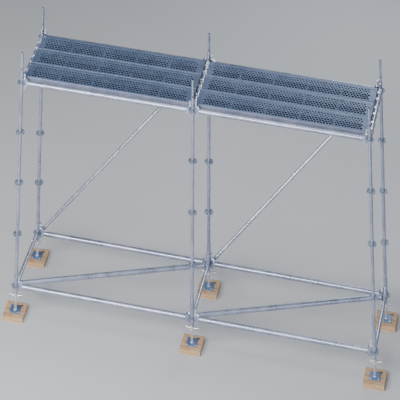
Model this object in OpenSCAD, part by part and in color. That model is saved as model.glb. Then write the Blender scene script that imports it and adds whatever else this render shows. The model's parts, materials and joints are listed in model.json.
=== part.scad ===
// Two-bay modular scaffold section: tube standards with welded rosettes, wedge-head ledgers,
// diagonals, hook-on steel decks, and screw jacks on timber sole boards.
// Millimetres, +Z up. Origin: floor level under the middle of the section.
// X runs along the bays, Y from the front posts to the back posts.

/* [Bays] */
// Distance between post axes along one bay
bay_length = 2572; // [1500:1:3072]
// Distance between the front and back post axes
bay_depth = 1088; // [1060:1:1120]
// Height from one rosette to the next
rosette_pitch = 500; // [450:1:550]
// Rosette steps from the base level up to the platform
platform_steps = 4; // [3:1:5]

/* [Tubes] */
// Outside diameter of standards, ledgers and transoms
tube_d = 48.3; // [48:0.1:48.6]
// Wall of those tubes
tube_wall = 3.2; // [2.7:0.1:4]
// Outside diameter of the face diagonals
brace_d = 38; // [34:0.1:44]
// Outside diameter of the spigot and of the jack spindle
spigot_d = 38; // [36:0.1:38.4]

/* [Feet] */
// Side of a square sole board
board_side = 295; // [250:1:350]
// Thickness of a sole board
board_thick = 45; // [35:1:60]
// Side of a square base plate
plate_side = 150; // [140:1:160]
// Thickness of a base plate
plate_thick = 6; // [5:0.5:8]
// Length of a jack spindle above its plate
spindle_length = 550; // [480:1:650]
// Height of the base rosettes above the floor
base_level = 272; // [262:1:300]

/* [Decks] */
// Width of one deck plank
deck_width = 320; // [300:1:320]
// Height of the deck's top above its rosettes
deck_rise = 45; // [42:1:50]
// Depth of a deck's side
deck_side = 67; // [60:1:70]

/* [Hidden] */
$fn = 48;
tube_r = tube_d / 2;
tube_inner_r = tube_r - tube_wall;
spigot_r = spigot_d / 2;
run_gap = 0.3;          // between a sliding or plugged pair of tubes
face_gap = 0.2;         // between flat faces of different bodies
top_level = base_level + platform_steps * rosette_pitch;

// Rosette and wedge head
rosette_r = 62;
rosette_thick = 9;
hole_ring_r = 44;
hole_r = 11;
head_r0 = 26;           // nose of a wedge head, from the post axis
nose_half = 9;          // half width of that nose
head_r1 = 60;           // where the head reaches its full width
head_r2 = 92;           // back of the head, where the tube begins
head_half = 22.5;
head_up = 42;
head_down = 40;
mouth_half = 5.2;       // half height of the mouth that straddles the rosette
wedge_thick = 6;
wedge_top = 90;
wedge_bottom = 66;
vent_r = 4;             // galvanizing vent near each tube end

// Jack
plate_top = board_thick + plate_thick;
nut_height = 40;
nut_top = base_level - 70;
nut_r = 29;
nut_arm_r = 7.5;
nut_reach = 100;
nut_tilt = 8;
spindle_bore_r = 13;
nail_offset = 58;
nail_r = 2.5;

// Collar and standard
collar_top = base_level + 180;
collar_r = 28.5;
seat = base_level + 20;
standard_end = top_level + 105;
spigot_end = standard_end + 200;
spigot_inner_r = 15;
pin_hole_r = 8;
pin_hole_z = standard_end + 35;
pin_turn = 12;          // turn of every cross hole from straight ahead
lock_hole_z = base_level + 100;

// Decks
deck_gap = 10;
deck_pitch = deck_width + deck_gap;
deck_end = 36;          // from the transom axis to the plank's end
deck_sheet = 2;
deck_lip = 22;
end_plate = 6;
hook_thick = 8;
hook_width = 36;
hook_near = 46;
hook_far = 92;

// Plan diagonals: where the tube meets the back of its head, from the post axis
plan_elbow = 91;

// Face diagonals, outside the back posts
brace_r = brace_d / 2;
brace_wall = 3.2;
brace_pin_side = 52;    // pin axis from the post axis, along the face
brace_lug_y = 60;       // outer face of the lug from the post axis
brace_plate = 10;
brace_tab = 95;         // flattened length at each end
brace_tab_half = brace_r - 0.6;
brace_pin_r = 8;
brace_pin_depth = 14;   // blind hole for the pin in its head

POSTS = [
    ["front_left", -bay_length, -bay_depth / 2],
    ["front_middle", 0, -bay_depth / 2],
    ["front_right", bay_length, -bay_depth / 2],
    ["back_left", -bay_length, bay_depth / 2],
    ["back_middle", 0, bay_depth / 2],
    ["back_right", bay_length, bay_depth / 2]
];
LEVELS = [["base", base_level], ["top", top_level]];
ROWS = ["front", "centre", "back"];
BAYS = [["left", -bay_length], ["right", 0]];

// Directions, in degrees round a post, in which members leave it at one level.
// Every member lies inside the section, so a post has neighbours only on some sides.
function has_right(x) = x < bay_length / 2;
function has_left(x) = x > -bay_length / 2;
function inward(y) = y < 0 ? 90 : -90;
function member_angles(x, y) =
    concat(has_right(x) ? [0] : [], has_left(x) ? [180] : [], [inward(y)]);
// Plan diagonals leave a front post towards the back right, and reach the next back post.
function plan_angles(x, y) =
    y < 0 ? (has_right(x) ? [45] : []) : (has_left(x) ? [225] : []);
// Face diagonals leave a back post at the base and reach the next one at the platform.
function face_angles(x, y, top) =
    y < 0 ? [] : top ? (has_left(x) ? [135] : []) : (has_right(x) ? [45] : []);

// ---------- Feet ----------

module sole_board(x, y) {
    color("burlywood")
        translate([x, y, board_thick / 2])
            cube([board_side, board_side, board_thick], center = true);
}

module screw_jack(x, y) {
    color("lightsteelblue")
        translate([x, y, 0])
            difference() {
                union() {
                    translate([-plate_side / 2, -plate_side / 2, board_thick])
                        cube([plate_side, plate_side, plate_thick]);
                    translate([0, 0, board_thick])
                        cylinder(r = spigot_r, h = plate_thick + spindle_length);
                    // weld round the foot of the spindle
                    translate([0, 0, plate_top - 1])
                        cylinder(r1 = spigot_r + 7, r2 = spigot_r + 0.5, h = 7);
                }
                translate([0, 0, plate_top])
                    cylinder(r = spindle_bore_r, h = spindle_length + 1);
                for (sx = [-1, 1], sy = [-1, 1])
                    translate([sx * nail_offset, sy * nail_offset, board_thick - 1])
                        cylinder(r = nail_r + 0.5, h = plate_thick + 2);
            }
}

module plate_nails() {
    nail_head_r = 8;
    color("silver")
        for (p = POSTS, s = [-1, 1])
            translate([p[1] + s * nail_offset, p[2] - nail_offset, 0]) {
                translate([0, 0, board_thick])
                    cylinder(r = nail_r, h = plate_thick + 1);
                translate([0, 0, plate_top])
                    cylinder(r1 = nail_head_r, r2 = nail_head_r - 2, h = 3);
            }
}

module wing_nut(x, y) {
    nut_bore_r = spigot_r + 0.08;
    middle = nut_top - nut_height / 2;
    color("slategray")
        translate([x, y, 0])
            difference() {
                union() {
                    translate([0, 0, nut_top - nut_height])
                        cylinder(r = nut_r, h = nut_height);
                    for (side = [0, 180])
                        rotate([0, 0, side])
                            translate([0, 0, middle - 4])
                                rotate([0, 90 - nut_tilt, 0]) {
                                    cylinder(r1 = nut_arm_r + 1.5, r2 = nut_arm_r, h = nut_reach - 6);
                                    translate([0, 0, nut_reach - 8])
                                        sphere(r = nut_arm_r + 1.5);
                                }
                }
                translate([0, 0, nut_top - nut_height - 1])
                    cylinder(r = nut_bore_r, h = nut_height + 2);
            }
}

// ---------- Uprights ----------

module base_collar(x, y) {
    foot = nut_top + face_gap;
    flare = base_level + 9;
    color("lightsteelblue")
        translate([x, y, 0])
            difference() {
                rotate_extrude()
                    polygon([
                        [tube_inner_r, foot], [tube_r, foot], [tube_r, flare],
                        [collar_r, flare + 4], [collar_r, collar_top],
                        [tube_r + run_gap, collar_top], [tube_r + run_gap, seat],
                        [tube_inner_r, seat]
                    ]);
                translate([0, 0, lock_hole_z])
                    rotate([90, 0, pin_turn])
                        cylinder(r = pin_hole_r, h = 3 * collar_r, center = true);
            }
}

module standard(x, y) {
    spigot_root = standard_end - 200;
    chamfer = 3;
    color("lightsteelblue")
        translate([x, y, 0])
            difference() {
                rotate_extrude()
                    polygon([
                        [tube_inner_r, seat + face_gap], [tube_r, seat + face_gap],
                        [tube_r, standard_end], [spigot_r, standard_end],
                        [spigot_r, spigot_end - chamfer], [spigot_r - chamfer, spigot_end],
                        [spigot_inner_r, spigot_end], [spigot_inner_r, spigot_root],
                        [tube_inner_r, spigot_root]
                    ]);
                for (z = [lock_hole_z, pin_hole_z])
                    translate([0, 0, z])
                        rotate([90, 0, pin_turn])
                            cylinder(r = pin_hole_r, h = 3 * tube_r, center = true);
            }
}

module rosette_disc() {
    big_hole_half = 7;
    translate([0, 0, -rosette_thick / 2])
        linear_extrude(rosette_thick)
            difference() {
                circle(r = rosette_r, $fn = 64);
                circle(r = tube_r + 0.05);
                for (a = [0:90:270])
                    rotate(a) translate([hole_ring_r, 0]) circle(r = hole_r);
                for (a = [45:90:315])
                    rotate(a) translate([hole_ring_r, 0]) {
                        for (s = [-1, 1])
                            translate([0, s * big_hole_half]) circle(r = hole_r - 1);
                        square([2 * (hole_r - 1), 2 * big_hole_half], center = true);
                    }
            }
}

module rosettes() {
    color("lightslategray")
        for (p = POSTS, step = [0:platform_steps])
            translate([p[1], p[2], base_level + step * rosette_pitch])
                rosette_disc();
}

// ---------- Wedge heads and wedges ----------

// A cast head for the rosette hole at angle 0, with its mouth and its wedge slot.
module head() {
    depth = head_up + head_down;
    slot_half = wedge_thick / 2 + 0.5;
    difference() {
        intersection() {
            translate([0, 0, -head_down])
                linear_extrude(depth)
                    polygon([
                        [head_r0, -nose_half], [head_r1, -head_half], [head_r2, -head_half],
                        [head_r2, head_half], [head_r1, head_half], [head_r0, nose_half]
                    ]);
            rotate([90, 0, 0])
                translate([0, 0, -head_half - 1])
                    linear_extrude(2 * head_half + 2)
                        polygon([
                            [head_r0, -head_down], [head_r1 + 4, -head_down],
                            [head_r2, -tube_r - 2], [head_r2, tube_r + 2],
                            [head_r1 + 4, head_up], [head_r0, head_up]
                        ]);
        }
        // clear of the post
        translate([0, 0, -head_down - 1])
            cylinder(r = tube_r + 4.8, h = depth + 2);
        // mouth over the rosette
        translate([0, 0, -mouth_half])
            cylinder(r = rosette_r + 1, h = 2 * mouth_half);
        // slot for the wedge
        translate([hole_ring_r - 11.5, -slot_half, -head_down - 1])
            cube([23, 2 * slot_half, depth + 2]);
    }
}

module wedge() {
    hammer_head = 6;
    rotate([90, 0, 0])
        translate([hole_ring_r, 0, -wedge_thick / 2])
            linear_extrude(wedge_thick)
                polygon([
                    [-5, -wedge_bottom], [5, -wedge_bottom], [10, head_up + 4],
                    [13, wedge_top - hammer_head], [11, wedge_top], [-11, wedge_top],
                    [-13, wedge_top - hammer_head], [-10, head_up + 4]
                ]);
}

module wedges(x, y, z) {
    top = z > base_level;
    angles = concat(member_angles(x, y), top ? [] : plan_angles(x, y), face_angles(x, y, top));
    color("silver")
        translate([x, y, z])
            for (a = angles) rotate(a) wedge();
}

// A tube along +X with a head at each end, for two posts `span` apart.
module member(span) {
    for (end = [0, 1])
        translate([end * span, 0, 0]) rotate(end * 180) head();
    difference() {
        translate([head_r2 - 6, 0, 0])
            rotate([0, 90, 0])
                cylinder(r = tube_r, h = span - 2 * head_r2 + 12);
        translate([head_r2 + 2, 0, 0])
            rotate([0, 90, 0])
                cylinder(r = tube_inner_r, h = span - 2 * head_r2 - 4);
        for (end = [head_r2 + 30, span - head_r2 - 30])
            translate([end, 0, -tube_r - 1])
                cylinder(r = vent_r, h = 2 * tube_wall);
    }
}

module ledgers(y, z) {
    color("lightsteelblue")
        for (b = BAYS) translate([b[1], y, z]) member(bay_length);
}

module transoms(z) {
    color("lightsteelblue")
        for (x = [-bay_length, 0, bay_length])
            translate([x, -bay_depth / 2, z]) rotate(90) member(bay_depth);
}

// ---------- Diagonals ----------

module plan_brace() {
    elbow = plan_elbow / sqrt(2);
    start = [elbow, elbow];
    run = [bay_length - 2 * elbow, bay_depth - 2 * elbow];
    length = norm(run);
    angle = atan2(run[1], run[0]);
    rotate(45) head();
    translate([bay_length, bay_depth, 0]) rotate(225) head();
    difference() {
        union() {
            translate(start) rotate([0, 90, angle]) cylinder(r = tube_r, h = length);
            for (p = [start, start + run])
                translate(p) sphere(r = tube_r + 1.5);
        }
        translate(start) rotate([0, 90, angle])
            translate([0, 0, 30]) cylinder(r = tube_inner_r, h = length - 60);
        for (d = [60, length - 60])
            translate(start) rotate(angle) translate([d, 0, -tube_r - 1])
                cylinder(r = vent_r, h = 2 * tube_wall);
    }
}

module plan_braces() {
    color("lightsteelblue")
        for (b = BAYS) translate([b[1], -bay_depth / 2, base_level]) plan_brace();
}

// Where each face diagonal's two pins are, in the back posts' plane.
brace_rise = top_level - base_level;
brace_run = bay_length - 2 * brace_pin_side;
brace_length = norm([brace_run, brace_rise]);
brace_angle = atan2(brace_rise, brace_run);
brace_axis_y = bay_depth / 2 + brace_lug_y + run_gap + brace_plate / 2;

module brace_tab_end() {
    rotate([90, 0, 0])
        translate([0, 0, -brace_plate / 2])
            linear_extrude(brace_plate)
                difference() {
                    union() {
                        circle(r = brace_tab_half);
                        translate([0, -brace_tab_half]) square([brace_tab, 2 * brace_tab_half]);
                    }
                    circle(r = brace_pin_r + 0.1);
                }
}

module face_brace() {
    tube_start = 55;
    rotate([0, -brace_angle, 0]) {
        brace_tab_end();
        translate([brace_length, 0, 0]) rotate(180) brace_tab_end();
        difference() {
            translate([tube_start, 0, 0]) rotate([0, 90, 0])
                cylinder(r = brace_r, h = brace_length - 2 * tube_start);
            translate([brace_tab - 10, 0, 0]) rotate([0, 90, 0])
                cylinder(r = brace_r - brace_wall, h = brace_length - 2 * brace_tab + 20);
            for (d = [brace_tab + 40, brace_length - brace_tab - 40])
                translate([d, 0, -brace_r - 1]) cylinder(r = vent_r, h = 2 * brace_wall);
        }
    }
}

module face_braces() {
    color("lightsteelblue")
        for (b = BAYS)
            translate([b[1] + brace_pin_side, brace_axis_y, base_level]) face_brace();
}

// Pins: first and last of each diagonal, as [x, z].
function brace_ends() = [
    for (b = BAYS) each [
        [b[1], base_level, 1],
        [b[1] + bay_length, top_level, -1]
    ]
];

// A head in the rosette's outer corner hole, cut off flat along the face and drilled for the pin.
module brace_head() {
    difference() {
        rotate(45) head();
        translate([-1, brace_lug_y, -100]) cube([200, 100, 200]);
        translate([brace_pin_side, brace_lug_y - brace_pin_depth, 0])
            rotate([-90, 0, 0])
                cylinder(r = brace_pin_r + 0.1, h = brace_pin_depth + 1);
    }
}

module brace_heads() {
    color("slategray")
        for (e = brace_ends())
            translate([e[0], bay_depth / 2, e[1]])
                if (e[2] < 0) mirror([1, 0, 0]) brace_head();
                else brace_head();
}

module brace_pins() {
    shank = brace_plate + brace_pin_depth - 0.2;
    color("silver")
        for (e = brace_ends())
            translate([e[0] + e[2] * brace_pin_side, brace_axis_y + brace_plate / 2 + 0.2, e[1]]) {
                rotate([90, 0, 0]) cylinder(r = brace_pin_r, h = shank);
                rotate([-90, 0, 0]) cylinder(r1 = brace_pin_r + 5, r2 = brace_pin_r + 2, h = 5);
            }
}

// ---------- Decks ----------

// A claw over the transom at x = 0, reaching back to a plank on the +X side.
module claw(y) {
    inner = tube_r + 0.35;
    outer = inner + hook_thick;
    // Top of the transom, then down its far side to 30 degrees below level
    translate([0, y + hook_width / 2, 0])
        rotate([90, 0, 0])
            linear_extrude(hook_width)
                difference() {
                    union() {
                        circle(r = outer);
                        translate([0, -6]) square([deck_end + 3, outer + 6]);
                    }
                    circle(r = inner);
                    translate([-2 * outer, -2 * outer - 10]) square([4 * outer, 2 * outer]);
                    translate([0, -outer]) square([inner, outer]);
                }
}

module deck(bay_x, row) {
    y0 = (row - 1) * deck_pitch;
    length = bay_length - 2 * deck_end;
    top = deck_rise;
    inner_w = deck_width - 2 * deck_sheet;
    color("steelblue")
        translate([bay_x, y0, top_level]) {
            difference() {
                translate([deck_end, -deck_width / 2, top - deck_side])
                    cube([length, deck_width, deck_side]);
                translate([deck_end + end_plate, -inner_w / 2, top - deck_side + deck_sheet])
                    cube([length - 2 * end_plate, inner_w, deck_side - 2 * deck_sheet]);
                translate([deck_end + end_plate, deck_lip - deck_width / 2, top - deck_side - 1])
                    cube([length - 2 * end_plate, deck_width - 2 * deck_lip, deck_sheet + 2]);
            }
            for (y = [-hook_far, hook_near]) claw(y);
            translate([bay_length, 0, 0]) rotate(180)
                for (y = [-hook_far, hook_near]) claw(y);
        }
}

for (p = POSTS) {
    sole_board(p[1], p[2]);
    screw_jack(p[1], p[2]);
    wing_nut(p[1], p[2]);
    base_collar(p[1], p[2]);
    standard(p[1], p[2]);
    for (l = LEVELS)
        wedges(p[1], p[2], l[1]);
}
for (b = BAYS, row = [0:2])
    deck(b[1], row);
for (l = LEVELS) {
    ledgers(-bay_depth / 2, l[1]);
    ledgers(bay_depth / 2, l[1]);
    transoms(l[1]);
}
plan_braces();
face_braces();
brace_heads();
brace_pins();
rosettes();
plate_nails();
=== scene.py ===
"""Looks of a two-bay modular scaffold: punched decks, threaded jacks, boards and galvanized tube."""

import json
import logging
import math
from collections.abc import Callable, Iterable, Sequence
from dataclasses import dataclass, field
from enum import Enum

import bmesh
import bpy
from mathutils import Matrix, Vector, noise


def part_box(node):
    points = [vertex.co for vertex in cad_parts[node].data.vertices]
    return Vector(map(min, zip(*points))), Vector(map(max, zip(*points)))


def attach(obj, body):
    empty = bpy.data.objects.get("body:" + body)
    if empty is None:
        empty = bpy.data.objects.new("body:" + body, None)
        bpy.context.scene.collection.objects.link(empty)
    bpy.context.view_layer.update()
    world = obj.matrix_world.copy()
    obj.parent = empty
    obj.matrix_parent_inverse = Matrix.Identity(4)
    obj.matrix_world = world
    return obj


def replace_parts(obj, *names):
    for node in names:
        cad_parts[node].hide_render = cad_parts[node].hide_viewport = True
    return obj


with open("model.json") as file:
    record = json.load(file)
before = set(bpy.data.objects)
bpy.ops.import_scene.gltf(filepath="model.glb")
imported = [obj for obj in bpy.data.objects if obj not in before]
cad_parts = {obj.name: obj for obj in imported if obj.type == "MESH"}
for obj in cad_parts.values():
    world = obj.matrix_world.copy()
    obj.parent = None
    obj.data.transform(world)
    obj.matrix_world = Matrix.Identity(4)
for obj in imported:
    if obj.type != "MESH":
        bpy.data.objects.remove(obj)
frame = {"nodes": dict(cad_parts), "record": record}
log = logging.getLogger("scaffold")

Point = tuple[float, float, float]
Colour = tuple[float, float, float]
POSTS = ("front_left", "front_middle", "front_right", "back_left", "back_middle", "back_right")


class Grain(Enum):
    """Which finish a piece wears. The first six are also the record's material slots."""

    TUBE = "galvanized_tube"
    CAST = "cast_steel"
    WEDGE = "wedge_steel"
    PLATED = "plated_steel"
    DECK = "deck_steel"
    TIMBER = "timber"
    BRIGHT = "bright_plating"
    # Lighter zinc for the face braces: a painted highlight on the same tube steel.
    BRACE_PAINTED_LIGHT = "galvanizing_painted_lighter"
    # Lighter grey on the deck's upright sides: painted light on the same sheet as the top.
    SIDE_PAINTED_LIGHT = "deck_side"
    # Near-black on the walls of the deck's drawn holes: painted shade.
    HOLE_SHADE = "deck_hole_painted_shade"


# ---------------------------------------------------------------- shader maths


class Signal:
    """A shader socket that takes part in Python arithmetic."""

    def __init__(self, graph: "Graph", socket: bpy.types.NodeSocket) -> None:
        """Keeps the graph that the socket belongs to."""
        self.graph = graph
        self.socket = socket

    def _math(self, operation: str, first: object, second: object = 0.0) -> "Signal":
        """Adds one Math node and returns its result."""
        return self.graph.node("ShaderNodeMath", {"operation": operation}, {0: first, 1: second})

    def __add__(self, other: object) -> "Signal":
        """self + other."""
        return self._math("ADD", self, other)

    __radd__ = __add__

    def __sub__(self, other: object) -> "Signal":
        """self - other."""
        return self._math("SUBTRACT", self, other)

    def __rsub__(self, other: object) -> "Signal":
        """other - self."""
        return self._math("SUBTRACT", other, self)

    def __mul__(self, other: object) -> "Signal":
        """self * other."""
        return self._math("MULTIPLY", self, other)

    __rmul__ = __mul__

    def __pow__(self, other: object) -> "Signal":
        """self ** other."""
        return self._math("POWER", self, other)

    def __rpow__(self, other: object) -> "Signal":
        """other ** self."""
        return self._math("POWER", other, self)

    def clamp(self) -> "Signal":
        """Keeps the value between 0 and 1."""
        return self.graph.node("ShaderNodeClamp", {}, {"Value": self})

    def ramp(self, low: float, high: float) -> "Signal":
        """Maps low..high smoothly onto 0..1.

        Args:
            low: The value that becomes 0.
            high: The value that becomes 1.

        Returns:
            The eased value.
        """
        return self.graph.node(
            "ShaderNodeMapRange",
            {"interpolation_type": "SMOOTHSTEP"},
            {"Value": self, "From Min": low, "From Max": high},
        )

    def sine(self) -> "Signal":
        """The sine of the value."""
        return self._math("SINE", self)


class Graph:
    """One material's node tree."""

    def __init__(self, name: str) -> None:
        """Makes the material with a bare Principled shader."""
        self.material = bpy.data.materials.new(name)
        self.material.use_nodes = True
        self.tree = self.material.node_tree
        self.surface = self.tree.nodes["Principled BSDF"]

    def node(
        self,
        kind: str,
        settings: dict[str, object] | None = None,
        sockets: dict[str | int, object] | None = None,
        output: str | int = 0,
    ) -> Signal:
        """Adds a node of any type.

        Args:
            kind: Blender's type name for the node.
            settings: Node properties, set before the sockets.
            sockets: Values or signals for its inputs, by name or place.
            output: The output to return.

        Returns:
            The chosen output as a signal.
        """
        made = self.tree.nodes.new(kind)
        for name, value in (settings or {}).items():
            setattr(made, name, value)
        for name, value in (sockets or {}).items():
            self._feed(made.inputs[name], value)
        return Signal(self, made.outputs[output])

    def _feed(self, socket: bpy.types.NodeSocket, value: object) -> None:
        """Links a signal to a socket, or sets a plain value on it."""
        if isinstance(value, Signal):
            self.tree.links.new(value.socket, socket)
        elif isinstance(value, tuple) and socket.type == "RGBA":
            socket.default_value = (*value[:3], 1.0)
        else:
            socket.default_value = value

    def surface_with(self, **sockets: object) -> None:
        """Feeds the Principled shader, with underscores for the spaces in socket names."""
        for name, value in sockets.items():
            self._feed(self.surface.inputs[name.replace("_", " ")], value)

    def place(self, scale: Point = (1.0, 1.0, 1.0)) -> Signal:
        """The point on the piece at rest, in metres, stretched by scale."""
        point = self.node("ShaderNodeTexCoord", {}, {}, "Object")
        return self.node("ShaderNodeMapping", {}, {"Vector": point, "Scale": scale})

    def cloud(self, place: Signal, size: float, detail: float = 4.0, rough: float = 0.55) -> Signal:
        """Soft noise whose patches are about 1/size metres wide."""
        sockets = {"Vector": place, "Scale": size, "Detail": detail, "Roughness": rough}
        return self.node("ShaderNodeTexNoise", {}, sockets, "Fac")

    def blend(self, share: object, first: object, second: object) -> Signal:
        """Mixes two colours.

        Args:
            share: 0 gives the first colour and 1 the second.
            first: A colour or a signal.
            second: A colour or a signal.

        Returns:
            The mixed colour.
        """
        return self.node("ShaderNodeMix", {"data_type": "RGBA"}, {0: share, 6: first, 7: second}, 2)

    def bump(self, height: Signal, depth: float, strength: float = 1.0) -> Signal:
        """A normal that follows a height field, with depth in metres."""
        sockets = {"Height": height, "Distance": depth, "Strength": strength}
        return self.node("ShaderNodeBump", {}, sockets)


# ---------------------------------------------------------------- finishes


@dataclass(frozen=True)
class ZincFinish:
    """Zinc-coated steel: crystal spangle, dull patches, dust and a worn, scuffed skin."""

    name: str
    bright: Colour
    dull: Colour
    dust: Colour
    roughness: float = 0.42
    metallic: float = 0.8
    spangle: float = 85.0
    scuff: float = 0.35

    def material(self) -> bpy.types.Material:
        """Builds the material.

        Returns:
            The finished material.
        """
        graph = Graph(self.name)
        place = graph.place()
        crystals = graph.node(
            "ShaderNodeTexVoronoi", {"feature": "F1"},
            {"Vector": place, "Scale": self.spangle, "Randomness": 1.0}, "Color",
        )
        facet = graph.node("ShaderNodeSeparateColor", {}, {"Color": crystals}, "Red")
        patch = graph.cloud(place, 5.0, 5.0).ramp(0.35, 0.68)
        fine = graph.cloud(place, 320.0, 3.0, 0.7)
        streak = graph.cloud(graph.place((40.0, 40.0, 3.0)), 1.0, 4.0).ramp(0.55, 0.72)
        scratch = graph.cloud(graph.place((6.0, 150.0, 150.0)), 3.0, 2.0, 0.8).ramp(0.62, 0.7)
        zinc = graph.blend((patch * 0.55 + facet * 0.45).clamp(), self.dull, self.bright)
        dusty = graph.blend((streak * 0.45 * patch).clamp(), zinc, self.dust)
        scuffed = graph.blend(scratch * self.scuff, dusty, tuple(min(1.0, c * 1.5) for c in self.bright))
        height = facet * 0.25 + fine * 0.35 - scratch * 0.4
        rough = self.roughness + patch * 0.12 - facet * 0.12 + streak * 0.2 - scratch * 0.08
        graph.surface_with(
            Base_Color=scuffed,
            Metallic=(self.metallic - streak * 0.35).clamp(),
            Roughness=rough.clamp(),
            Normal=graph.bump(height, 0.0004, 0.35),
        )
        return graph.material


@dataclass(frozen=True)
class ForgedFinish:
    """A forged and galvanized surface: grainy, matt, with rust starting in scattered spots."""

    name: str
    skin: Colour
    shade: Colour
    rust: Colour = (0.23, 0.12, 0.06)
    roughness: float = 0.5

    def material(self) -> bpy.types.Material:
        """Builds the material.

        Returns:
            The finished material.
        """
        graph = Graph(self.name)
        place = graph.place()
        grain = graph.cloud(place, 420.0, 4.0, 0.7)
        lumps = graph.cloud(place, 60.0, 3.0)
        spots = graph.cloud(place, 34.0, 6.0, 0.7).ramp(0.62, 0.74)
        body = graph.blend(lumps.ramp(0.35, 0.65), self.shade, self.skin)
        graph.surface_with(
            Base_Color=graph.blend(spots * 0.5, body, self.rust),
            Metallic=(0.78 - spots * 0.6).clamp(),
            Roughness=(self.roughness + grain * 0.12 + spots * 0.25).clamp(),
            Normal=graph.bump(grain * 0.5 + lumps * 0.8, 0.0007, 0.5),
        )
        return graph.material


@dataclass(frozen=True)
class TimberFinish:
    """Sawn softwood: growth rings, saw marks, a dark knot and weathered grey patches."""

    name: str = "sawn_softwood"
    early: Colour = (0.68, 0.45, 0.24)
    late: Colour = (0.30, 0.15, 0.065)
    grey: Colour = (0.60, 0.47, 0.36)
    knot: Colour = (0.05, 0.025, 0.012)
    knot_at: Point = (0.070, 0.092, 0.022)

    def material(self) -> bpy.types.Material:
        """Builds the material.

        Returns:
            The finished material.
        """
        graph = Graph(self.name)
        place = graph.place()
        warp = graph.cloud(graph.place((4.0, 14.0, 14.0)), 1.0, 4.0)
        split = graph.node("ShaderNodeSeparateXYZ", {}, {"Vector": place}, "Y")
        height = graph.node("ShaderNodeSeparateXYZ", {}, {"Vector": place}, "Z")
        across = split + 0.05
        below = height + 0.13
        radius = (across * across + below * below) ** 0.5
        offset = graph.node(
            "ShaderNodeVectorMath", {"operation": "SUBTRACT"}, {0: place, 1: self.knot_at}
        )
        flat = graph.node("ShaderNodeMapping", {}, {"Vector": offset, "Scale": (0.35, 1.0, 0.6)})
        away = graph.node("ShaderNodeVectorMath", {"operation": "LENGTH"}, {0: flat}, "Value")
        swirl = 1 - away.ramp(0.004, 0.045)
        rings = ((radius * 380.0 + warp * 9.0 + swirl * 7.0).sine() * 0.5 + 0.5) ** 2.5
        fibre = graph.cloud(graph.place((18.0, 700.0, 700.0)), 1.0, 3.0, 0.7)
        saw = (graph.node("ShaderNodeSeparateXYZ", {}, {"Vector": place}, "X") * 900.0 + warp * 6.0).sine()
        weather = graph.cloud(place, 9.0, 5.0).ramp(0.42, 0.7)
        core = 1 - away.ramp(0.008, 0.015)
        wood = graph.blend((rings * 0.7 + fibre * 0.3).clamp(), self.early, self.late)
        aged = graph.blend(weather * 0.45, wood, self.grey)
        graph.surface_with(
            Base_Color=graph.blend(core * 0.92, aged, self.knot),
            Roughness=(0.72 + fibre * 0.15 - rings * 0.08).clamp(),
            Normal=graph.bump(rings * 0.4 + fibre * 0.6 + saw * 0.12, 0.0012, 0.6),
        )
        return graph.material


@dataclass(frozen=True)
class FloorFinish:
    """A pale, smooth studio floor with a faint mottle."""

    name: str = "pale_floor"
    tone: Colour = (0.60, 0.61, 0.63)

    def material(self) -> bpy.types.Material:
        """Builds the material."""
        graph = Graph(self.name)
        mottle = graph.cloud(graph.place(), 1.3, 5.0)
        darker = tuple(c * 0.96 for c in self.tone)
        graph.surface_with(
            Base_Color=graph.blend(mottle, darker, self.tone),
            Roughness=0.75 + mottle * 0.1,
        )
        return graph.material


FINISHES: dict[Grain, ZincFinish | ForgedFinish | TimberFinish] = {
    Grain.TUBE: ZincFinish(
        "galvanized_tube", (0.55, 0.59, 0.73), (0.31, 0.34, 0.46), (0.36, 0.36, 0.39), 0.35, 0.9
    ),
    Grain.CAST: ForgedFinish("galvanized_forging", (0.40, 0.47, 0.58), (0.18, 0.23, 0.31)),
    Grain.WEDGE: ZincFinish(
        "bright_wedge", (0.78, 0.81, 0.86), (0.52, 0.56, 0.62), (0.4, 0.38, 0.35), 0.33, 0.9, 140.0, 0.7
    ),
    Grain.PLATED: ZincFinish(
        "plated_jack", (0.19, 0.29, 0.50), (0.10, 0.17, 0.33), (0.24, 0.25, 0.27), 0.55, 0.6, 200.0, 0.5
    ),
    Grain.DECK: ZincFinish(
        "deck_sheet", (0.165, 0.22, 0.345), (0.105, 0.15, 0.255), (0.18, 0.21, 0.26), 0.56, 0.55, 70.0, 0.4
    ),
    # Lighter zinc for the face braces: a painted highlight.
    Grain.BRACE_PAINTED_LIGHT: ZincFinish(
        "galvanizing_painted_lighter", (0.74, 0.77, 0.85), (0.42, 0.46, 0.55), (0.5, 0.5, 0.5), 0.32, 0.95
    ),
    # Lighter grey for the deck's upright sides: painted light.
    Grain.SIDE_PAINTED_LIGHT: ZincFinish(
        "deck_side", (0.27, 0.29, 0.39), (0.18, 0.20, 0.29), (0.22, 0.23, 0.26), 0.5, 0.6, 60.0, 0.6
    ),
    # Near-black for the walls of the drawn holes: painted shade.
    Grain.HOLE_SHADE: ForgedFinish(
        "deck_hole_painted_shade", (0.012, 0.015, 0.024), (0.005, 0.007, 0.011), (0.02, 0.01, 0.006), 0.8
    ),
    Grain.BRIGHT: ZincFinish(
        "bright_plating", (0.80, 0.82, 0.86), (0.55, 0.58, 0.64), (0.42, 0.42, 0.42), 0.34, 0.85, 160.0, 0.5
    ),
    Grain.TIMBER: TimberFinish(),
}


class Finishes:
    """Makes each finish's material once and hands it out."""

    def __init__(self) -> None:
        """Starts with no material made."""
        self._made: dict[Grain, bpy.types.Material] = {}

    def get(self, grain: Grain) -> bpy.types.Material:
        """The material of a finish group."""
        if grain not in self._made:
            self._made[grain] = FINISHES[grain].material()
        return self._made[grain]


# ---------------------------------------------------------------- mesh making


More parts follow.
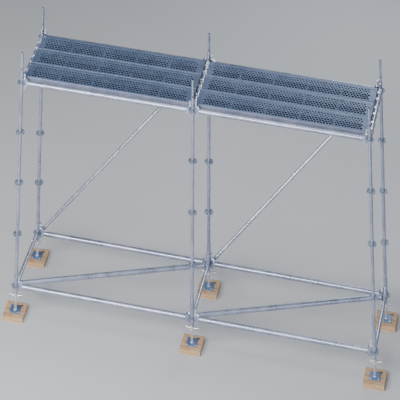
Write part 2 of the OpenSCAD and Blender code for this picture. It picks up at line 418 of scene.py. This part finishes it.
@dataclass
class Shell:
    """Gathers points and faces, and turns them into one object."""

    points: list[Point] = field(default_factory=list)
    faces: list[tuple[int, ...]] = field(default_factory=list)
    _seen: dict[Point, int] = field(default_factory=dict)

    def point(self, x: float, y: float, z: float, shared: bool = False) -> int:
        """Adds a point.

        Args:
            x: Along the bays.
            y: Across the section.
            z: Up.
            shared: True to reuse a point that is already there.

        Returns:
            The point's number.
        """
        key = (round(x, 6), round(y, 6), round(z, 6))
        if shared and key in self._seen:
            return self._seen[key]
        self.points.append((x, y, z))
        if shared:
            self._seen[key] = len(self.points) - 1
        return len(self.points) - 1

    def bridge(self, first: Sequence[int], second: Sequence[int], closed: bool = True) -> None:
        """Joins two rows of points with quads."""
        count = len(first)
        for i in range(count if closed else count - 1):
            j = (i + 1) % count
            self.faces.append((first[i], first[j], second[j], second[i]))

    def loft(self, rings: Sequence[Sequence[Point]], cap: bool = True) -> None:
        """Joins closed rings in order, and closes both ends if cap is set."""
        rows = [[self.point(*p) for p in ring] for ring in rings]
        for first, second in zip(rows, rows[1:]):
            self.bridge(first, second)
        if cap:
            self.faces.append(tuple(reversed(rows[0])))
            self.faces.append(tuple(rows[-1]))

    def lathe(self, centre: Point, profile: Sequence[tuple[float, float]], sides: int = 32,
              wobble: float = 0.0, closed: bool = True) -> None:
        """Turns a profile of (radius, height) round a vertical axis.

        Args:
            centre: The axis foot.
            profile: Points of the outline, in order.
            sides: Points round the axis.
            wobble: How much the radius varies, for a hand-laid bead.
            closed: True when the outline's last point joins its first.
        """
        rows = []
        for radius, height in profile:
            row = []
            for k in range(sides):
                turn = math.tau * k / sides
                at = Vector((math.cos(turn) * 9, math.sin(turn) * 9, height * 300 + centre[0]))
                reach = radius + wobble * noise.noise(at)
                row.append(self.point(centre[0] + reach * math.cos(turn),
                                      centre[1] + reach * math.sin(turn), centre[2] + height))
            rows.append(row)
        for first, second in zip(rows, rows[1:]):
            self.bridge(first, second)
        if closed:
            self.bridge(rows[-1], rows[0])
        else:
            self.faces.append(tuple(reversed(rows[0])))
            self.faces.append(tuple(rows[-1]))

    def block(self, low: Point, high: Point) -> None:
        """Adds a closed box."""
        corners = [self.point(x, y, z) for z in (low[2], high[2])
                   for x, y in ((low[0], low[1]), (high[0], low[1]), (high[0], high[1]), (low[0], high[1]))]
        self.faces.append((corners[3], corners[2], corners[1], corners[0]))
        self.faces.append((corners[4], corners[5], corners[6], corners[7]))
        self.bridge(corners[:4], corners[4:])

    def mesh(self, name: str) -> bpy.types.Mesh:
        """Makes the mesh, with its faces turned outward."""
        made = bpy.data.meshes.new(name)
        made.from_pydata(self.points, [], self.faces)
        work = bmesh.new()
        work.from_mesh(made)
        bmesh.ops.recalc_face_normals(work, faces=work.faces)
        work.to_mesh(made)
        work.free()
        return made


def add_piece(
    name: str, mesh: bpy.types.Mesh, material: bpy.types.Material, body: str,
    location: Point = (0.0, 0.0, 0.0), smooth_degrees: float = 35.0,
) -> bpy.types.Object:
    """Puts a mesh in the scene as a piece that rides on a body.

    Args:
        name: The piece's name.
        mesh: Its mesh.
        material: Its finish.
        body: The CAD body that it moves with.
        location: Where the mesh's origin goes.
        smooth_degrees: Edges sharper than this stay crisp.

    Returns:
        The new object.
    """
    mesh.materials.clear()
    mesh.materials.append(material)
    mesh.shade_smooth()
    mesh.set_sharp_from_angle(angle=math.radians(smooth_degrees))
    piece = bpy.data.objects.new(name, mesh)
    piece.location = location
    bpy.context.scene.collection.objects.link(piece)
    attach(piece, body)
    log.info("%s: %d faces on %s", name, len(mesh.polygons), body)
    return piece


def copy_over(
    node: str, name: str, mesh: bpy.types.Mesh, material: bpy.types.Material, body: str,
    rise: float = 0.5, smooth_degrees: float = 35.0,
) -> None:
    """Puts a copy of a mesh over a CAD node, in its place.

    Args:
        node: The CAD node.
        name: The piece's name.
        mesh: The mesh to copy.
        material: Its finish.
        body: The CAD body that it moves with.
        rise: How far up the node's box the mesh's origin goes, from 0 to 1.
        smooth_degrees: Edges sharper than this stay crisp.
    """
    low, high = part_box(node)
    at = ((low.x + high.x) / 2, (low.y + high.y) / 2, low.z + (high.z - low.z) * rise)
    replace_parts(add_piece(name, mesh.copy(), material, body, at, smooth_degrees), node)


def apply_modifiers(mesh: bpy.types.Mesh, set_up: Callable[[bpy.types.Object], None]) -> bpy.types.Mesh:
    """Runs modifiers on a mesh and returns the result as a new mesh.

    Args:
        mesh: The mesh to start from.
        set_up: Adds the modifiers to the object it is given.

    Returns:
        The finished mesh.
    """
    holder = bpy.data.objects.new("holder", mesh)
    bpy.context.scene.collection.objects.link(holder)
    set_up(holder)
    bpy.context.view_layer.update()
    evaluated = holder.evaluated_get(bpy.context.evaluated_depsgraph_get())
    result = bpy.data.meshes.new_from_object(evaluated)
    bpy.data.objects.remove(holder)
    bpy.data.meshes.remove(mesh)
    return result


@dataclass(frozen=True)
class Punch:
    """One punched cell: a hole in a rectangle, with its rim pressed up and its edge drawn down."""

    half_x: float
    half_y: float
    hole: float
    rim: float = 0.0
    drop: float = 0.0
    skirt: float = 0.004

    def cut(self, shell: Shell, x: float, y: float, z: float) -> None:
        """Adds the cell round a centre.

        Args:
            shell: The sheet that the cell joins.
            x: The centre along the sheet.
            y: The centre across the sheet.
            z: The sheet's height.
        """
        a, b = self.half_x, self.half_y
        outline = [(a, 0), (a, b), (a / 2, b), (0, b), (-a / 2, b), (-a, b),
                   (-a, 0), (-a, -b), (-a / 2, -b), (0, -b), (a / 2, -b), (a, -b)]
        edge = [shell.point(x + px, y + py, z, shared=True) for px, py in outline]
        turns = [math.tau * k / len(outline) for k in range(len(outline))]
        rows = [edge]
        steps = [(self.hole + self.skirt, 0.0), (self.hole, self.rim)]
        if self.drop:
            steps += [(self.hole - 0.0004, self.rim - 0.0012), (self.hole - 0.0006, -self.drop)]
        for reach, lift in steps:
            rows.append([shell.point(x + reach * math.cos(t), y + reach * math.sin(t), z + lift)
                         for t in turns])
        for first, second in zip(rows, rows[1:]):
            shell.bridge(first, second)


# ---------------------------------------------------------------- decks


@dataclass
class Decks:
    """Hook-on planks of folded, punched sheet, three to a bay."""

    finishes: Finishes
    sheet: float = 0.002
    cell_x: float = 0.022
    cell_y: float = 0.020
    end_zone: float = 0.062
    zone_shift: float = -0.016
    rows: int = 6
    wide_hole: float = 0.0175
    narrow_hole: float = 0.0125
    hole_rim: float = 0.0016
    hole_drop: float = 0.016
    end_strip: float = 0.03
    fold_depth: float = 0.009
    claw_outer: float = 0.0325
    claw_inner: float = 0.0245
    claw_width: float = 0.036
    deck_end: float = 0.036
    claw_places: tuple[float, float] = (-0.092, 0.046)

    def build(self) -> None:
        """Builds one plank's mesh and puts a copy over every deck node."""
        low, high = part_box("deck_left_centre")
        length = high.x - low.x - 2 * (self.claw_outer + self.deck_end)
        plank = self._plank(length, high.y - low.y, high.z - low.z)
        for bay in ("left", "right"):
            for row in ("front", "centre", "back"):
                node = f"deck_{bay}_{row}"
                low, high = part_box(node)
                crown = Vector(((low.x + high.x) / 2, (low.y + high.y) / 2, high.z))
                half = Vector((length, high.y - low.y)) / 2
                mesh = plank.copy()
                mesh.transform(Matrix.Translation(crown))
                piece = add_piece(f"plank_{bay}_{row}", mesh, self.finishes.get(Grain.DECK), node)
                # Hole walls get painted shade, upright sides painted light, claws the wedge finish.
                for grain in (Grain.HOLE_SHADE, Grain.SIDE_PAINTED_LIGHT, Grain.WEDGE):
                    mesh.materials.append(self.finishes.get(grain))
                for face in mesh.polygons:
                    steep = abs(face.normal.z) < 0.8
                    face.material_index = self._finish_of(face.center - crown, steep, half)
                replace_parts(piece, node)

    def _finish_of(self, place: Vector, steep: bool, half: Vector) -> int:
        """Which of a plank's finishes a face wears.

        Args:
            place: The face's middle, from the middle of the plank's highest level.
            steep: Whether the face is nearly upright.
            half: Half the plank's length and half its width.

        Returns:
            0 for the skin, 1 for the wall of a drawn hole, painted near-black as shade, 2 for the upright
            side, painted lighter as if lit, and 3 for a claw.
        """
        if abs(place.x) > half.x + 0.001:
            return 3
        depth = -place.z
        in_zone = abs(place.y - self.zone_shift) < self.rows * self.cell_y
        in_wall = self.sheet * 1.2 < depth < self.sheet + self.hole_drop + 0.002
        # Upright faces down the drawn hole collars: painted shade.
        if steep and in_zone and in_wall:
            return 1
        # Upright faces of the folded sides get the lighter finish: painted light.
        painted_light_side = abs(place.y) > half.y - 0.004 and depth > self.fold_depth
        return 2 if steep and painted_light_side else 0

    def _plank(self, length: float, width: float, depth: float) -> bpy.types.Mesh:
        """One plank, centred on x and y, with its highest point at z = 0.

        Args:
            length: From end plate to end plate.
            width: Over the sides.
            depth: From the walking surface to the bottom lips.

        Returns:
            The plank's mesh.
        """
        skin = Shell()
        level = -self.sheet
        half_zone = self.rows * self.cell_y
        columns = int((length - 2 * self.end_zone) / (2 * self.cell_x))
        zone = columns * self.cell_x
        self._punch_zone(skin, columns, zone, half_zone, level)
        self._plain_parts(skin, length / 2, width / 2, depth, zone, half_zone, level)
        mesh = apply_modifiers(skin.mesh("plank_skin"), self._thicken)
        self._join_ends(mesh, length, width, depth)
        return mesh

    def _thicken(self, holder: bpy.types.Object) -> None:
        """Gives the folded sheet its thickness, inward."""
        solid = holder.modifiers.new("sheet", "SOLIDIFY")
        solid.thickness = self.sheet
        solid.offset = -1.0

    def _punch_zone(self, skin: Shell, columns: int, zone: float, half_zone: float, level: float) -> None:
        """Fills the walking zone with staggered holes, wider and with a narrower rim towards the front.

        Args:
            skin: The sheet.
            columns: Cells along one row.
            zone: Half the zone's length.
            half_zone: Half the zone's width.
            level: The sheet's height.
        """
        wide = Punch(self.cell_x, self.cell_y, self.wide_hole, self.hole_rim, self.hole_drop, 0.0018)
        narrow = Punch(self.cell_x, self.cell_y, self.narrow_hole, self.hole_rim, self.hole_drop)
        for row in range(self.rows):
            y = self.zone_shift - half_zone + (2 * row + 1) * self.cell_y
            punch = wide if row < self.rows // 2 else narrow
            shifted = row % 2 == 1
            start = -zone + (2 if shifted else 1) * self.cell_x
            for column in range(columns - (1 if shifted else 0)):
                punch.cut(skin, start + 2 * column * self.cell_x, y, level)
            if shifted:
                for side in (-1, 1):
                    self._half_cell(skin, side * (zone - self.cell_x / 2), y, level)

    def _half_cell(self, skin: Shell, x: float, y: float, level: float) -> None:
        """Closes the half cell at the end of a shifted row."""
        a, b = self.cell_x / 2, self.cell_y
        outline = [(-a, -b), (0, -b), (a, -b), (a, 0), (a, b), (0, b), (-a, b), (-a, 0)]
        skin.faces.append(tuple(skin.point(x + px, y + py, level, shared=True) for px, py in outline))

    def _plain_parts(self, skin: Shell, half_length: float, half_width: float, depth: float,
                     zone: float, half_zone: float, level: float) -> None:
        """Adds the plain ends, and the folded edges, sides and lips.

        Args:
            skin: The sheet.
            half_length: Half the plank's length.
            half_width: Half its width.
            depth: Its depth.
            zone: Half the punched zone's length.
            half_zone: Half the punched zone's width.
            level: The sheet's height.
        """
        across = [self.zone_shift - half_zone + k * self.cell_y for k in range(2 * self.rows + 1)]
        strip = half_length - self.end_strip
        for stations in ((-half_length, -strip, -zone), (zone, strip, half_length)):
            rows = [[skin.point(x, y, level, shared=True) for y in across] for x in stations]
            for first, second in zip(rows, rows[1:]):
                skin.bridge(first, second, closed=False)
        steps = round(2 * zone / (self.cell_x / 2))
        stations = [-half_length, -strip, *(-zone + k * self.cell_x / 2 for k in range(steps + 1)),
                    strip, half_length]
        w, d, t = half_width, depth, self.sheet
        for side in (-1, 1):
            edge = half_zone + side * self.zone_shift
            fold = [(edge, level), (edge + 0.005, level), (edge + 0.0075, 0.0), (w - 0.010, 0.0),
                    (w - 0.004, -0.0012), (w - 0.001, -0.004), (w, -0.008), (w, -0.024),
                    (w - 0.0025, -0.027), (w - 0.0025, -0.041), (w, -0.044), (w, t + 0.005 - d),
                    (w - 0.002, 0.0018 - d), (w - 0.006, -d), (w - 0.022, -d), (w - 0.022, 0.006 - d)]
            rows = [[skin.point(x, side * y, z, shared=True) for y, z in fold] for x in stations]
            for first, second in zip(rows, rows[1:]):
                skin.bridge(first, second, closed=False)

    def _join_ends(self, mesh: bpy.types.Mesh, length: float, width: float, depth: float) -> None:
        """Adds end plates, cross ribs and claws to a plank's mesh.

        Args:
            mesh: The plank's skin, changed in place.
            length: The plank's length.
            width: The plank's width.
            depth: The plank's depth.
        """
        extra = Shell()
        inset = 0.0032
        plate = 0.005
        for side in (-1, 1):
            near, far = sorted((side * length / 2, side * (length / 2 - plate)))
            extra.block((near, inset - width / 2, 0.002 - depth),
                        (far, width / 2 - inset, -0.0045))
            for place in self.claw_places:
                self._claw(extra, side, length / 2, -side * place)
        for place in (-0.3, -0.1, 0.1, 0.3):
            x = place * length
            extra.block((x - 0.015, inset - width / 2, -0.030), (x + 0.015, width / 2 - inset, -0.0046))
        work = bmesh.new()
        work.from_mesh(mesh)
        work.from_mesh(extra.mesh("plank_ends"))
        work.to_mesh(mesh)
        work.free()

    def _claw(self, shell: Shell, side: int, end: float, y: float) -> None:
        """A cast claw that hangs the plank on its transom.

        Args:
            shell: Where the claw is added.
            side: 1 at the +X end and -1 at the other.
            end: Half the plank's length.
            y: The claw's middle across the plank.
        """
        outer, inner = self.claw_outer, self.claw_inner
        axis = end + self.deck_end
        drop = 0.045
        steps = 14
        reach = self.deck_end + 0.002
        arc = [math.radians(90 - 110 * k / steps) for k in range(steps + 1)]
        profile = [(-reach, outer - 0.004), (-reach + 0.01, outer)]
        profile += [(outer * math.cos(t), outer * math.sin(t)) for t in arc]
        back = [math.radians(-20 + 200 * k / steps) for k in range(steps + 1)]
        profile += [(inner * math.cos(t), inner * math.sin(t)) for t in back]
        profile += [(-inner, -0.004), (-reach, -0.004)]
        half = self.claw_width / 2
        bevel = 0.002
        rings = []
        for shift, shrink in ((-half, bevel), (bevel - half, 0.0), (half - bevel, 0.0), (half, bevel)):
            ring = []
            for px, pz in profile:
                away = math.hypot(px, pz)
                scale = 1 - shrink / away if away > (outer + inner) / 2 else 1 + shrink / away
                ring.append((side * (axis + px * scale), y + shift, pz * scale - drop))
            rings.append(ring)
        shell.loft(rings)


# ---------------------------------------------------------------- feet


@dataclass
class SoleBoards:
    """Square timber pads with a split running to one corner."""

    finishes: Finishes
    cells: int = 60
    layers: int = 8
    edge: float = 0.003
    crack: tuple[tuple[float, float], ...] = (
        (0.147, 0.098), (0.122, 0.094), (0.104, 0.099), (0.082, 0.088), (0.058, 0.091),
    )

    def build(self) -> None:
        """Puts one board under each jack."""
        low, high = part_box("sole_board_front_left")
        mesh, finish = self._board(high - low), self.finishes.get(Grain.TIMBER)
        for post in POSTS:
            copy_over(f"sole_board_{post}", f"timber_pad_{post}", mesh, finish, "stance",
                      smooth_degrees=50.0)

    def _board(self, size: Vector) -> bpy.types.Mesh:
        """One board round its own middle, inside its CAD size.

        Args:
            size: The board's length, width and thickness.

        Returns:
            The board's mesh.
        """
        work = bmesh.new()
        bmesh.ops.create_cube(work, size=1.0)
        flat = [e for e in work.edges if abs(e.verts[0].co.z - e.verts[1].co.z) < 0.5]
        bmesh.ops.subdivide_edges(work, edges=flat, cuts=self.cells - 1, use_grid_fill=True)
        upright = [e for e in work.edges if abs(e.verts[0].co.z - e.verts[1].co.z) > 0.5]
        bmesh.ops.subdivide_edges(work, edges=upright, cuts=self.layers - 1, use_grid_fill=True)
        for vertex in work.verts:
            vertex.co = self._weathered(vertex.co.copy(), size)
        mesh = bpy.data.meshes.new("board")
        work.to_mesh(mesh)
        work.free()
        return mesh

    def _weathered(self, at: Vector, size: Vector) -> Vector:
        """Rounds the edges, roughens the faces and opens the split.

        Args:
            at: A point of the unit cube.
            size: The board's size.

        Returns:
            The point on the finished board.
        """
        half = size / 2
        point = Vector((at.x * size.x, at.y * size.y, at.z * size.z))
        inner = Vector((max(-h + self.edge, min(h - self.edge, c)) for h, c in zip(half, point)))
        out = point - inner
        if out.length > 1e-9:
            point = inner + out.normalized() * min(out.length, self.edge)
        bottom = at.z < -0.49
        if not bottom:
            rough = 0.0005 + 0.0006 * noise.noise(Vector((point.x * 18, point.y * 140, point.z * 140)))
            point -= rough * Vector((at.x, at.y, max(at.z, 0.0))) * 2
        if at.z > 0.2:
            gap = min(self._distance(point, a, b) for a, b in zip(self.crack, self.crack[1:]))
            point.z -= 0.010 * max(0.0, 1 - gap / 0.0055) * (at.z - 0.2) / 0.3
        return point

    @staticmethod
    def _distance(point: Vector, start: tuple[float, float], end: tuple[float, float]) -> float:
        """How far a point lies from a stretch of the split, seen from above."""
        a, b, p = Vector(start), Vector(end), point.xy
        along = b - a
        share = max(0.0, min(1.0, (p - a).dot(along) / along.length_squared))
        return (p - a - along * share).length


@dataclass
class ScrewJacks:
    """Base plates with rolled-thread spindles welded on."""

    finishes: Finishes
    pitch: float = 0.008
    crest: float = 0.019
    root: float = 0.0164
    sides: int = 28
    plate_thick: float = 0.006
    hole_inset: float = 0.017

    def build(self) -> None:
        """Puts one jack under each upright."""
        low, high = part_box("screw_jack_front_left")
        size = high - low
        kinds = (("base_plate", self._plate(size.x), self.finishes.get(Grain.PLATED)),
                 ("spindle", self._spindle(size.z), self.finishes.get(Grain.BRIGHT)))
        for post in POSTS:
            for kind, mesh, finish in kinds:
                copy_over(f"screw_jack_{post}", f"{kind}_{post}", mesh, finish, "stance", 0.0)

    def _plate(self, side: float) -> bpy.types.Mesh:
        """A square plate with a nail hole near each corner.

        Args:
            side: The plate's side.

        Returns:
            The plate's mesh.
        """
        shell = Shell()
        half = side / 2
        nail = half - self.hole_inset
        quarter = half - nail
        top = self.plate_thick
        corner = Punch(quarter, quarter, 0.004, 0.0, 0.003)
        inner = half - 2 * quarter
        for sx in (-1, 1):
            for sy in (-1, 1):
                corner.cut(shell, sx * nail, sy * nail, top)
        edge = [-inner, -inner / 2, 0.0, inner / 2, inner]
        marks = [half, half - quarter, inner]
        for s in (-1, 1):
            for lane in range(2):
                for k in range(4):
                    quad = [(edge[k], s * marks[lane]), (edge[k + 1], s * marks[lane]),
                            (edge[k + 1], s * marks[lane + 1]), (edge[k], s * marks[lane + 1])]
                    shell.faces.append(tuple(shell.point(x, y, top, shared=True) for x, y in quad))
                    shell.faces.append(tuple(shell.point(y, x, top, shared=True) for x, y in quad))
        for left, right in zip(edge, edge[1:]):
            for near, far in zip(edge, edge[1:]):
                quad = [(left, near), (right, near), (right, far), (left, far)]
                shell.faces.append(tuple(shell.point(x, y, top, shared=True) for x, y in quad))

        def set_up(holder: bpy.types.Object) -> None:
            """Thickens the plate downward and eases its edges."""
            solid = holder.modifiers.new("plate", "SOLIDIFY")
            solid.thickness = self.plate_thick
            solid.offset = -1.0
            ease = holder.modifiers.new("ease", "BEVEL")
            ease.width = 0.0008
            ease.segments = 2
            ease.limit_method = "ANGLE"

        mesh = shell.mesh("plate")
        if mesh.polygons[0].normal.z < 0:
            mesh.flip_normals()
        return apply_modifiers(mesh, set_up)

    def _spindle(self, height: float) -> bpy.types.Mesh:
        """A threaded bar from the plate up, with its weld bead.

        Args:
            height: From the plate's underside to the bar's top.

        Returns:
            The spindle's mesh.
        """
        shell = Shell()
        start, weld = self.plate_thick - 0.001, 0.007
        knots = ((0.0, self.root), (0.22, self.root), (0.42, self.crest), (0.78, self.crest))
        turns = int((height - start) / self.pitch) + 1
        rows = []
        for turn in range(-1, turns + 1):
            for share, radius in knots:
                row = []
                for k in range(self.sides):
                    z = start + (turn + share + k / self.sides) * self.pitch
                    inside = start < z < height
                    reach = radius if inside else self.root
                    angle = math.tau * k / self.sides
                    row.append(shell.point(reach * math.cos(angle), reach * math.sin(angle),
                                           max(start, min(height, z))))
                rows.append(row)
        step = len(knots)
        for index in range(len(rows) - step):
            first, second, ahead = rows[index], rows[index + 1], rows[index + step]
            for k in range(self.sides - 1):
                shell.faces.append((first[k], first[k + 1], second[k + 1], second[k]))
            if index + step + 1 < len(rows):
                shell.faces.append((first[-1], ahead[0], rows[index + step + 1][0], second[-1]))
        mesh = shell.mesh("spindle")
        work = bmesh.new()
        work.from_mesh(mesh)
        bmesh.ops.remove_doubles(work, verts=work.verts, dist=1e-6)
        bmesh.ops.holes_fill(work, edges=[e for e in work.edges if e.is_boundary], sides=0)
        bead = Shell()
        bead.lathe((0, 0, self.plate_thick), [(0.0165, -0.0005), (0.0262, -0.0005), (0.0245, 0.003),
                                            (0.0215, 0.0058), (0.0192, weld), (0.0165, weld)], 48, 0.0012)
        work.from_mesh(bead.mesh("bead"))
        work.to_mesh(mesh)
        work.free()
        return mesh


@dataclass
class WingNuts:
    """Forged nuts with two turned-up arms."""

    finishes: Finishes
    hub: float = 0.029
    bore: float = 0.01915
    arm_sides: int = 14

    def build(self) -> None:
        """Puts one nut under each collar."""
        low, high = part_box("wing_nut_front_left")
        mesh, finish = self._nut((high.x - low.x) / 2, high.z - low.z), self.finishes.get(Grain.BRIGHT)
        for post in POSTS:
            copy_over(f"wing_nut_{post}", f"winged_nut_{post}", mesh, finish, f"nut_{post}")

    def _nut(self, reach: float, height: float) -> bpy.types.Mesh:
        """The nut round its own middle.

        Args:
            reach: From the axis to an arm's tip.
            height: The hub's height.

        Returns:
            The nut's mesh.
        """
        shell = Shell()
        h, r, b = height / 2, self.hub, self.bore
        rim, waist = r - 0.0005, r - 0.003
        shell.lathe((0, 0, 0), [
            (b + 0.0015, -h), (waist, -h), (rim, 0.003 - h), (rim, 0.010 - h), (waist, 0.014 - h),
            (waist, h - 0.014), (rim, h - 0.010), (rim, h - 0.002), (r - 0.002, h),
            (b + 0.0015, h), (b, h - 0.0015), (b, 0.0015 - h)], 40)
        for side in (-1, 1):
            rings = []
            for share in (0.0, 0.12, 0.3, 0.5, 0.7, 0.85, 0.94, 0.985, 1.0):
                x = 0.022 + (reach - 0.022) * share
                lift = -0.005 + 0.0145 * share ** 1.7
                tip = math.sqrt(max(0.02, 1 - max(0.0, (share - 0.86) / 0.14) ** 2))
                wide = (0.0135 - 0.006 * min(1.0, share * 1.6) + 0.0035 * share ** 3) * tip
                tall = (0.0125 - 0.005 * share + 0.001 * share ** 3) * tip
                turns = [math.tau * k / self.arm_sides for k in range(self.arm_sides)]
                rings.append([(side * x, wide * math.cos(t), lift + tall * math.sin(t)) for t in turns])
            shell.loft(rings)
        return shell.mesh("nut")


# ---------------------------------------------------------------- welds


@dataclass
class Welds:
    """Hand-laid beads where rosettes meet uprights and heads meet tubes."""

    finishes: Finishes
    tube: float = 0.02415
    bead: float = 0.0042
    head_reach: float = 0.092
    pitch: float = 0.5
    free_levels: tuple[int, ...] = (1, 2, 3)

    def build(self) -> None:
        """Adds the rosette beads and the head beads."""
        centres = {post: self._axis(post) for post in POSTS}
        base = self.level("ledgers_front_base")
        top = self.level("ledgers_front_top")
        for post, (x, y) in centres.items():
            shell = Shell()
            for step in self.free_levels:
                for side in (-1, 1):
                    z = base + step * self.pitch + side * 0.0044
                    shell.lathe((x, y, z), self._fillet(side), 36, 0.0007)
            add_piece(f"rosette_welds_{post}", shell.mesh("rosette_welds"), self.finishes.get(Grain.CAST),
                      "frame")
        for name, members in self._spans(centres, base, top).items():
            shell = Shell()
            for start, end in members:
                along = (end - start).normalized()
                for foot, way in ((start, along), (end, -along)):
                    self._girth(shell, foot + way * self.head_reach, way)
            add_piece(name, shell.mesh(name), self.finishes.get(Grain.CAST), "frame")

    @staticmethod
    def _axis(post: str) -> tuple[float, float]:
        """Where an upright's axis stands."""
        low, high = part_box(f"standard_{post}")
        return (low.x + high.x) / 2, (low.y + high.y) / 2

    @staticmethod
    def level(node: str) -> float:
        """The height of a ledger's axis: its head reaches 42 mm above it and 40 mm below."""
        low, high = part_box(node)
        return (low.z + high.z) / 2 - 0.001

    def _fillet(self, side: int) -> list[tuple[float, float]]:
        """The outline of a bead above (side 1) or below (side -1) a rosette."""
        r, b = self.tube, self.bead
        return [(r - 0.0006, 0.0), (r + b, 0.0), (r + b * 0.62, side * b * 0.5),
                (r + b * 0.3, side * b * 0.85), (r - 0.0006, side * b * 1.1)]

    @staticmethod
    def _spans(centres: dict[str, tuple[float, float]], base: float, top: float) -> dict[str, list]:
        """Start and end of each ledger and transom, by the name of its group of welds."""
        names = ("left", "middle", "right")
        groups: dict[str, list] = {}
        for side in ("front", "back"):
            groups[f"ledger_welds_{side}"] = [
                (Vector((*centres[f"{side}_{a}"], z)), Vector((*centres[f"{side}_{b}"], z)))
                for z in (base, top) for a, b in zip(names, names[1:])
            ]
        groups["transom_welds"] = [
            (Vector((*centres[f"front_{n}"], z)), Vector((*centres[f"back_{n}"], z)))
            for z in (base, top) for n in names
        ]
        return groups

    def _girth(self, shell: Shell, at: Vector, way: Vector) -> None:
        """A bead round a level tube.

        Args:
            shell: Where the bead is added.
            at: The bead's middle on the tube's axis.
            way: The direction along the tube.
        """
        up = Vector((0, 0, 1))
        out = way.cross(up)
        rings = []
        for shift, rise in ((-0.001, 0.0022), (0.0015, 0.0026), (0.004, 0.0014), (0.0055, -0.0004)):
            ring = []
            for k in range(32):
                turn = math.tau * k / 32
                rough = 0.0005 * noise.noise(Vector((turn * 4, at.x * 3, at.y * 5 + at.z)))
                reach = self.tube + rise + rough
                ring.append(tuple(at + way * shift + reach * (math.cos(turn) * out + math.sin(turn) * up)))
            rings.append(ring)
        shell.loft(rings, cap=False)


# ---------------------------------------------------------------- studio


@dataclass
class Studio:
    """Floor, soft lights and the camera on its leaning stand."""

    finish: FloorFinish = FloorFinish()
    azimuth: float = 12.5
    elevation: float = 25.52
    roll: float = 0.58
    lean: float = 0.79
    side_lean: float = 0.004
    distance: float = 50.0
    lens: float = 312.5
    aim_side: float = -0.011
    aim_rise: float = 0.868

    def build(self) -> None:
        """Sets the stage."""
        self._floor()
        self._lights()
        self._camera()

    def _floor(self) -> None:
        """A wide pale floor."""
        shell = Shell()
        reach = 140.0
        shell.faces.append(tuple(shell.point(x, y, 0.0) for x, y in
                                 ((-reach, -reach), (reach, -reach), (reach, reach), (-reach, reach))))
        mesh = shell.mesh("floor")
        mesh.materials.append(self.finish.material())
        floor = bpy.data.objects.new("floor", mesh)
        floor.location.z = -0.0005
        bpy.context.scene.collection.objects.link(floor)

    def _lights(self) -> None:
        """A large low key, a cool fill, two soft lamps above and behind, and a dim sky."""
        plan = (
            ("key", (-5.0, -10.0, 6.0), (13.0, 2.6), 2350.0, (1.0, 0.985, 0.97)),
            ("fill", (7.5, -9.0, 4.5), (4.0, 4.0), 160.0, (0.90, 0.94, 1.0)),
            ("top", (0.0, -1.0, 9.0), (6.0, 6.0), 220.0, (0.95, 0.97, 1.0)),
            ("rim", (2.0, 8.0, 5.0), (3.5, 3.5), 200.0, (0.92, 0.96, 1.0)),
        )
        for name, place, size, power, colour in plan:
            lamp = bpy.data.lights.new(name, "AREA")
            lamp.shape = "RECTANGLE"
            lamp.size, lamp.size_y = size
            lamp.energy, lamp.color = power, colour
            light = bpy.data.objects.new(name, lamp)
            light.location = place
            way = Vector((0.0, 0.0, 1.0)) - Vector(place)
            light.rotation_mode = "QUATERNION"
            light.rotation_quaternion = way.to_track_quat("-Z", "Y")
            bpy.context.scene.collection.objects.link(light)
        world = bpy.data.worlds.new("sky")
        world.use_nodes = True
        sky = world.node_tree.nodes["Background"].inputs
        sky["Color"].default_value = (0.74, 0.81, 0.92, 1.0)
        sky["Strength"].default_value = 0.3
        bpy.context.scene.world = world

    def _camera(self) -> None:
        """Hangs the camera on a stand whose up axis leans into the view.

        A plain camera has square axes. Here the stand's second axis leans towards the
        camera by `lean`, which draws the section narrower than it is by about 1.6. A
        camera that is taken off its stand is a plain one.
        """
        turn, rise, roll = (math.radians(a) for a in (self.azimuth, self.elevation, self.roll))
        back = Vector((math.sin(turn) * math.cos(rise), -math.cos(turn) * math.cos(rise), math.sin(rise)))
        right = Vector((0, 0, 1)).cross(back).normalized()
        above = back.cross(right)
        level = right * math.cos(roll) + above * math.sin(roll)
        upright = above * math.cos(roll) - right * math.sin(roll)
        share = math.sqrt(1 - self.lean**2 - self.side_lean**2)
        up = upright * share + back * self.lean + level * self.side_lean
        aim = Vector((self.aim_side, 0.0, Welds.level("ledgers_front_base") + self.aim_rise))
        eye = aim + back * self.distance
        stand = bpy.data.objects.new("camera_stand", None)
        data = bpy.data.cameras.new("camera")
        data.lens, data.clip_start, data.clip_end = self.lens, 1.0, 400.0
        camera = bpy.data.objects.new("camera", data)
        for thing in (stand, camera):
            bpy.context.scene.collection.objects.link(thing)
        camera.parent = stand
        rows = [(level[i], up[i], back[i], eye[i]) for i in range(3)]
        camera.matrix_parent_inverse = Matrix((*rows, (0.0, 0.0, 0.0, 1.0)))
        bpy.context.scene.camera = camera


# ---------------------------------------------------------------- the whole


def dress_nodes(finishes: Finishes) -> None:
    """Gives every CAD node that stays in view the finish of its slot; the face braces get a lighter zinc
    instead, a painted highlight.
    """
    slots = {entry["node"]: entry["material_slot"] for entry in frame["record"]["subparts"]}
    for name, node in frame["nodes"].items():
        if node.hide_render:
            continue
        node.data.materials.clear()
        # The face braces wear a lighter zinc than their slot: a painted highlight.
        grain = Grain.BRACE_PAINTED_LIGHT if name == "face_braces" else Grain(slots[name])
        node.data.materials.append(finishes.get(grain))
        log.info("%s keeps its CAD shape in %s", name, grain.value)


def main() -> None:
    """Builds the studio and every sub-assembly."""
    logging.basicConfig(level=logging.INFO, format="%(message)s")
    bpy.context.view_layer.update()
    finishes = Finishes()
    Studio().build()
    for assembly in (Decks(finishes), SoleBoards(finishes), ScrewJacks(finishes), WingNuts(finishes),
                     Welds(finishes)):
        assembly.build()
    dress_nodes(finishes)


if __name__ == "__main__":
    main()
